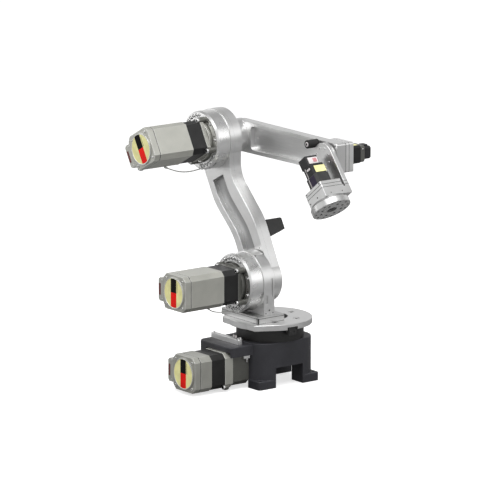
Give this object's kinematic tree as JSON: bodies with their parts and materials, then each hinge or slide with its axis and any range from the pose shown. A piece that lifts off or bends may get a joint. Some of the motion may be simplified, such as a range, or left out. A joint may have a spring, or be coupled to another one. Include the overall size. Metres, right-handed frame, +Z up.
{
  "type": "industrial robot arm",
  "caption": "Bench-size jointed robot arm: black cast base, turntable, curved lower arm, channel forearm, bracket wrist and round tool flange, with square motors on its side.",
  "frame": {"origin": "on the turntable axis, at the centre of the base's bolt pattern, in the plane of the feet", "axes": "+Z up, +X along the forearm at rest, -Y towards the three large motors"},
  "size_m": [0.5345, 0.4375, 0.6251],
  "materials": {
    "machined_aluminium": "milled and bead-blasted, clear anodised",
    "black_casting": "satin black powder coat",
    "black_steel": "blackened",
    "motor_grey": "satin die-cast",
    "stator_black": "satin black laminations",
    "steel": "ground",
    "black_plastic": "moulded",
    "dark_rubber": "smooth sleeve",
    "lead_sheath": "thin sheath"
  },
  "bodies": {
    "base": {"base_casting": "black_casting", "slewing_ring": "black_steel", "homing_rail": "machined_aluminium", "base_gearhead": "motor_grey", "base_motor_flange": "motor_grey", "base_motor_stator": "stator_black", "base_motor_housing": "motor_grey", "base_motor_plug": "motor_grey"},
    "turntable": {"turntable_plate": "machined_aluminium", "turntable_stop": "black_steel", "riser_plate": "machined_aluminium", "shoulder_bracket": "machined_aluminium", "shoulder_reducer": "steel", "shoulder_motor_flange": "motor_grey", "shoulder_motor_stator": "stator_black", "shoulder_motor_housing": "motor_grey", "shoulder_motor_plug": "motor_grey", "shoulder_motor_lead": "lead_sheath"},
    "lower_arm": {"lower_arm_link": "machined_aluminium", "arm_stop": "black_steel", "elbow_reducer": "steel", "elbow_motor_flange": "motor_grey", "elbow_motor_stator": "stator_black", "elbow_motor_housing": "motor_grey", "elbow_motor_plug": "motor_grey", "elbow_motor_lead": "lead_sheath"},
    "forearm": {"forearm_link": "machined_aluminium", "wrist_bumper": "dark_rubber", "pitch_gear_plate": "machined_aluminium", "pitch_gear_cover": "machined_aluminium", "pitch_motor_stator": "stator_black", "pitch_motor_cap": "motor_grey", "pitch_motor_encoder": "black_plastic"},
    "wrist": {"wrist_bracket": "machined_aluminium", "roll_gear_plate": "machined_aluminium", "roll_motor_plate": "machined_aluminium", "roll_motor_body": "stator_black", "roll_motor_rear": "motor_grey", "roll_motor_cover": "black_plastic", "roll_reducer": "steel"},
    "tool": {"tool_flange": "steel"}
  },
  "joints": [
    {"name": "base_turn", "type": "hinge", "parent": "base", "child": "turntable", "pos_m": [0, 0, 0.14], "axis": [0, 0, 1], "range_deg": [-160, 160]},
    {"name": "shoulder_swing", "type": "hinge", "parent": "turntable", "child": "lower_arm", "pos_m": [-0.022, 0, 0.2423], "axis": [0, 1, 0], "range_deg": [-50, 75]},
    {"name": "elbow_swing", "type": "hinge", "parent": "lower_arm", "child": "forearm", "pos_m": [-0.19356, 0, 0.55309], "axis": [0, -1, 0], "range_deg": [-20, 90]},
    {"name": "wrist_pitch", "type": "hinge", "parent": "forearm", "child": "wrist", "pos_m": [0.15044, 0, 0.55309], "axis": [0, 1, 0], "range_deg": [-100, 90]},
    {"name": "tool_roll", "type": "hinge", "parent": "wrist", "child": "tool", "pos_m": [0.22801, 0, 0.4538], "axis": [0.6157, 0, -0.788], "range_deg": [-180, 180]}
  ]
}
